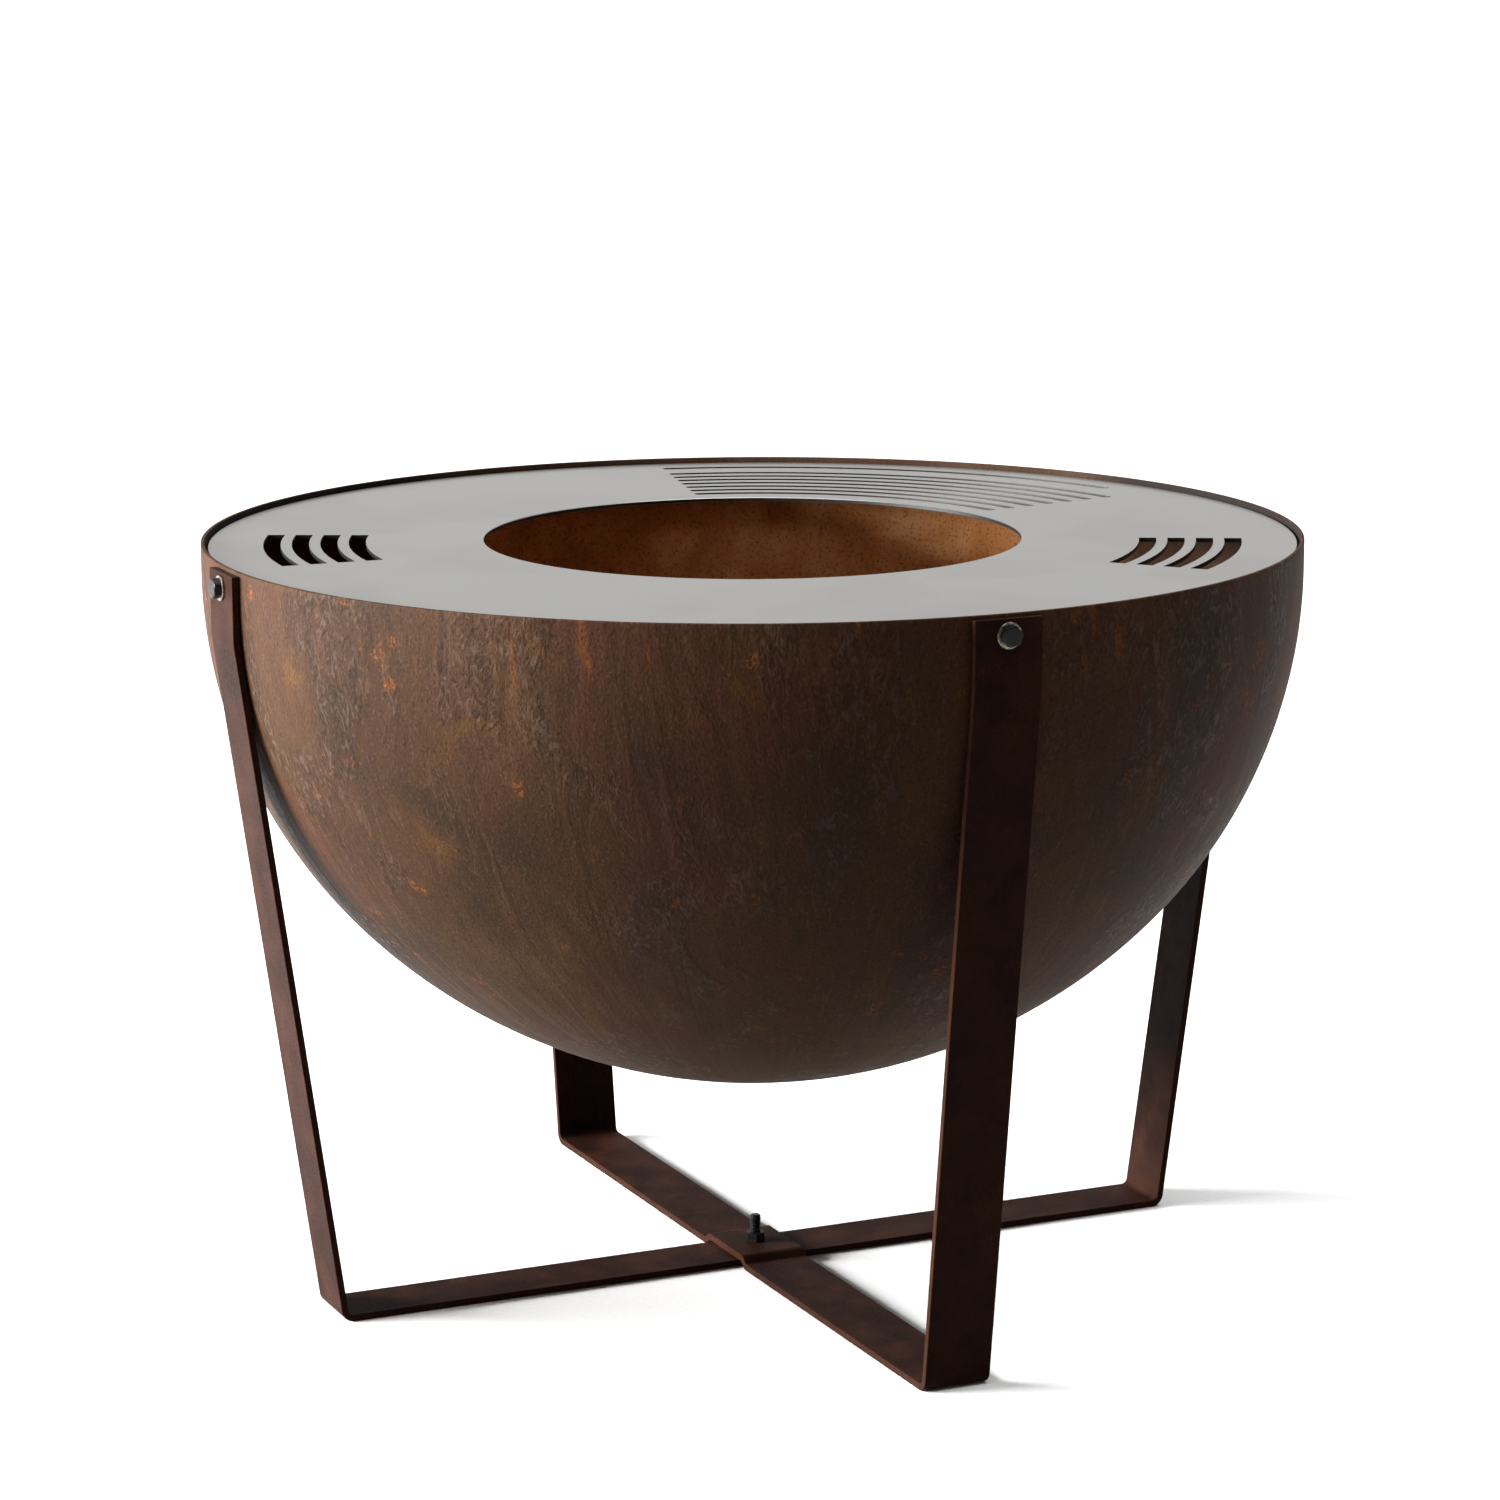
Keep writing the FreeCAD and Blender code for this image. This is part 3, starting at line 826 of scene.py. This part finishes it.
@dataclass
class Bolt:
    """Machine bolt with a rolled thread: the surface's radius follows a helix."""

    node: str
    name: str
    start: Vector
    axis: Vector
    side: Vector
    length: float
    head: "Head"
    diameter: float = 8 * MM
    pitch: float = 1.25 * MM
    columns: int = 36
    rows_per_turn: int = 9
    plain: float = 3.0 * MM       # unthreaded length under the head
    root_flat: float = 0.12       # share of the wave that is flat at the root
    flank: float = 0.72           # and share that rises to the crest
    depth_to_pitch: float = 0.6134
    chamfer: float = 1.0 * MM     # at the tip
    first_row: float = 0.05 * MM  # keeps the thread's first row clear of the head's last

    def shank(self) -> tuple[np.ndarray, np.ndarray]:
        """Radius and height of the thread.

        The thread's depth is a triangle wave of height over pitch minus angle over a full turn,
        with flattened crests and roots; it fades in past the plain part and out at the tip,
        where the radius also follows a chamfer.

        Returns:
            Radius and height, one row for each level and one column for each angle.
        """
        rows = int(self.length / self.pitch * self.rows_per_turn)
        height = np.linspace(self.first_row, self.length, rows)[:, None]
        turn = np.arange(self.columns)[None, :] / self.columns
        wave = np.abs(((height / self.pitch - turn) % 1.0) * 2 - 1)
        wave = np.clip((wave - self.root_flat) / self.flank, 0, 1)
        deep = self.depth_to_pitch * self.pitch
        fade = np.clip((height - self.plain) / self.pitch, 0, 1)
        radius = self.diameter / 2 - deep * (1 - wave) * fade
        tip = self.diameter / 2 - np.clip(height - (self.length - self.chamfer), 0, None)
        radius = np.minimum(radius, tip)
        return radius, np.repeat(height, self.columns, axis=1)

    def build(self) -> bpy.types.Object:
        """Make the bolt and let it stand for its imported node.

        Returns:
            The bolt.
        """
        radius, height = self.shank()
        head_radius, head_height = self.head.rings(self.columns, self.diameter / 2)
        radius = np.concatenate([head_radius, radius])
        height = np.concatenate([head_height, height])
        local = polar_points(radius, height)
        up = self.axis.cross(self.side)
        basis = np.array([self.side, up, self.axis])
        vertices, faces = closed_round(local @ basis + np.array(self.start))
        piece = mesh_object(self.name, vertices, faces, 40)
        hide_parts(self.node)
        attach(piece, ROOT_BODY)
        return piece


@dataclass(frozen=True)
class Head:
    """A bolt's head: crowned hexagon, or flush cone when it has no width across flats."""

    across_flats: float = 13 * MM
    height: float = 5.3 * MM
    turn: float = 0.0
    flush_radius: float = 8 * MM
    dimple: float = 0.35          # shares of half the width: the middle ring of the face,
    face: float = 0.9             # the ring at its edge
    crown: float = 0.96           # and the ring where the crown begins
    crown_angle: float = 30.0     # degrees
    crown_step: float = 0.04 * MM
    least_crown: float = 0.05 * MM

    def rings(self, columns: int, shank: float) -> tuple[np.ndarray, np.ndarray]:
        """Radius and height of the head's rows, from its outer end towards the shank.

        The hexagon's radius at an angle is half its width over the cosine of the angle from the
        nearest flat; the crown is a cone of 30 degrees that cuts the corners.

        Args:
            columns: Points round the head.
            shank: Radius of the shank.

        Returns:
            Radius and height, one row for each level.
        """
        angle = np.arange(columns) * (2 * math.pi / columns)
        if not self.across_flats:
            levels = np.array([(0.3, 0.0), (1.0, 0.0), (1.0, 0.15)])
            radius = [self.flush_radius * a for a, _ in levels] + [shank]
            height = [b * MM for _, b in levels] + [self.flush_radius - shank]
            rows = (np.array(radius)[:, None], np.array(height)[:, None])
            return np.repeat(rows[0], columns, axis=1), np.repeat(rows[1], columns, axis=1)
        half = self.across_flats / 2
        from_flat = (angle - math.radians(self.turn + 30) + math.pi / 6) % (math.pi / 3) - math.pi / 6
        hexagon = half / np.cos(from_flat)
        crown = (hexagon - half * self.crown) * math.tan(math.radians(self.crown_angle))
        zero = 0 * hexagon
        radius = [zero + half * share for share in (self.dimple, self.face, self.crown)]
        radius += [hexagon, hexagon, zero + shank]
        height = [zero - self.height, zero - self.height, zero - self.height + self.crown_step]
        height += [-self.height + np.maximum(crown, self.least_crown), zero, zero]
        return np.array(radius), np.array(height)


@dataclass
class Stand:
    """Two crossed straps with the bolt that joins them and the bolts that hold the bowl."""

    turns: Mapping[Leg, float] = field(
        default_factory=lambda: {Leg.RIGHT: 11.0, Leg.BACK: 24.0, Leg.LEFT: 4.0, Leg.FRONT: 17.0}
    )
    bolts: list[bpy.types.Object] = field(default_factory=list)

    def build(self) -> None:
        """Make the threaded bolts."""
        low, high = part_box("centre_bolt")
        up, side, length = Vector((0, 0, 1)), Vector((1, 0, 0)), high.z - low.z
        flush = Head(across_flats=0.0)
        start = Vector((0, 0, low.z))
        bolt = Bolt("centre_bolt", "crossing_bolt", start, up, side, length, flush, plain=5.5 * MM)
        self.bolts.append(bolt.build())
        for leg in Leg:
            angle = math.radians(leg.value)
            out = Vector((math.cos(angle), math.sin(angle), 0))
            low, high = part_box(f"leg_bolt_{leg.word}")
            reach = [abs(corner.dot(out)) for corner in (low, high)]
            head = Head(turn=self.turns[leg])
            seat = max(reach) - head.height
            middle = (low + high) / 2
            start = out * seat + Vector((0, 0, middle.z))
            length = seat - min(reach)
            node, name = f"leg_bolt_{leg.word}", f"rim_bolt_{leg.word}"
            bolt = Bolt(node, name, start, -out, Vector((0, 0, -1)), length, head)
            self.bolts.append(bolt.build())

    def dress(self, nodes: Mapping[str, bpy.types.Object]) -> None:
        """Finish the straps, nuts, washers and bolts.

        Args:
            nodes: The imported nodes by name.
        """
        _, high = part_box("lower_strap")
        dress(nodes["lower_strap"], RolledBar(Axis.Y, half_width=high.y).material())
        dress(nodes["upper_strap"], RolledBar(Axis.X, half_width=high.y).material())
        black, zinc = BlackOxide().material(), ZincPlate().material()
        for piece in self.bolts:
            dress(piece, black)
        dress(nodes["centre_nut"], black)
        for leg in Leg:
            dress(nodes[f"leg_nut_{leg.word}"], black)
            dress(nodes[f"outer_washer_{leg.word}"], zinc)
            dress(nodes[f"inner_washer_{leg.word}"], zinc)


@dataclass(frozen=True)
class Softbox:
    """One rectangular light: its middle, the point that it faces, width and height, and watts."""

    name: str
    place: tuple[float, float, float]
    aim: tuple[float, float, float]
    size: tuple[float, float]
    power: float

    def hang(self) -> None:
        """Hang the light."""
        data = bpy.data.lights.new(self.name, "AREA")
        data.shape, data.energy = "RECTANGLE", self.power
        data.size, data.size_y = self.size
        lamp = bpy.data.objects.new(self.name, data)
        lamp.location = self.place
        facing = Vector(self.aim) - Vector(self.place)
        lamp.rotation_euler = facing.to_track_quat("-Z", "Y").to_euler()
        bpy.context.scene.collection.objects.link(lamp)


@dataclass
class Studio:
    """Pale floor, soft lights and the camera."""

    eye: tuple[float, float, float] = (-1.3402, -2.9715, 1.0455)
    yaw: float = 0.4253
    pitch: float = 0.2005
    roll: float = -0.0037
    lens: float = 108.32
    shift: tuple[float, float] = (-0.007, 0.0031)
    sensor: float = 36.0
    far: float = 200.0
    floor_radius: float = 60.0
    floor_sides: int = 64
    floor_drop: float = 0.2 * MM  # keeps the paper clear of the feet
    room: float = 0.13            # strength of the dim room
    boxes: tuple[Softbox, ...] = (
        Softbox("side light", (-4.33, 1.57, 1.5), (0, 0, 0.3), (2.8, 1.4), 1050),
        Softbox("back light", (3.2, 7.0, 3.7), (0, 0, 0.5), (9.0, 4.4), 125),
    )
    overhead: float = 3.2
    overhead_spread: float = 60.0     # degrees

    def build(self) -> None:
        """Lay the floor, hang the lights and place the camera."""
        self.floor()
        self.lights()
        self.camera()

    def floor(self) -> None:
        """A wide flat disc just under the feet."""
        angle = np.arange(self.floor_sides) * (2 * math.pi / self.floor_sides)
        ring = np.stack([np.cos(angle), np.sin(angle), 0 * angle], axis=1) * self.floor_radius
        ring[:, 2] = -self.floor_drop
        floor = mesh_object("floor", ring, [np.arange(self.floor_sides)[None, :]], 30)
        dress(floor, StudioPaper().material())
        floor.visible_diffuse = False   # the paper throws no light upwards

    def lights(self) -> None:
        """A soft light from the side, one behind, one overhead, and a dim room."""
        world = bpy.data.worlds.new("room")
        world.use_nodes = True
        background = world.node_tree.nodes["Background"]
        background.inputs["Color"].default_value = (1.0, 1.0, 1.0, 1.0)
        background.inputs["Strength"].default_value = self.room
        bpy.context.scene.world = world
        for box in self.boxes:
            box.hang()
        sun = bpy.data.lights.new("overhead", "SUN")
        sun.energy, sun.angle = self.overhead, math.radians(self.overhead_spread)
        lamp = bpy.data.objects.new("overhead", sun)
        bpy.context.scene.collection.objects.link(lamp)

    def camera(self) -> None:
        """Stand the camera at the height of a person's chest, a long lens away."""
        level = math.cos(self.pitch)
        ahead = Vector((math.sin(self.yaw) * level, math.cos(self.yaw) * level, -math.sin(self.pitch)))
        right = Vector((math.cos(self.yaw), -math.sin(self.yaw), 0))
        up = right.cross(ahead)
        right = right * math.cos(self.roll) + up * math.sin(self.roll)
        up = right.cross(ahead)
        data = bpy.data.cameras.new("camera")
        data.lens, data.sensor_width = self.lens, self.sensor
        data.shift_x, data.shift_y = self.shift
        data.clip_end = self.far
        camera = bpy.data.objects.new("camera", data)
        turn = Matrix((right, up, -ahead)).transposed()
        camera.matrix_world = Matrix.Translation(self.eye) @ turn.to_4x4()
        bpy.context.scene.collection.objects.link(camera)
        bpy.context.scene.camera = camera


def main() -> None:
    """Build the bowl, the stand and the studio, and dress every piece."""
    logging.basicConfig(level=logging.INFO, format="%(name)s %(message)s")
    nodes = frame["nodes"]
    bowl = Bowl()
    bowl.build()
    bowl.dress()
    stand = Stand()
    stand.build()
    stand.dress(nodes)
    dress(nodes["griddle_plate"], GroundPlate().material())
    Studio().build()
    bpy.context.scene.view_settings.view_transform = "Standard"


if __name__ == "__main__":
    main()
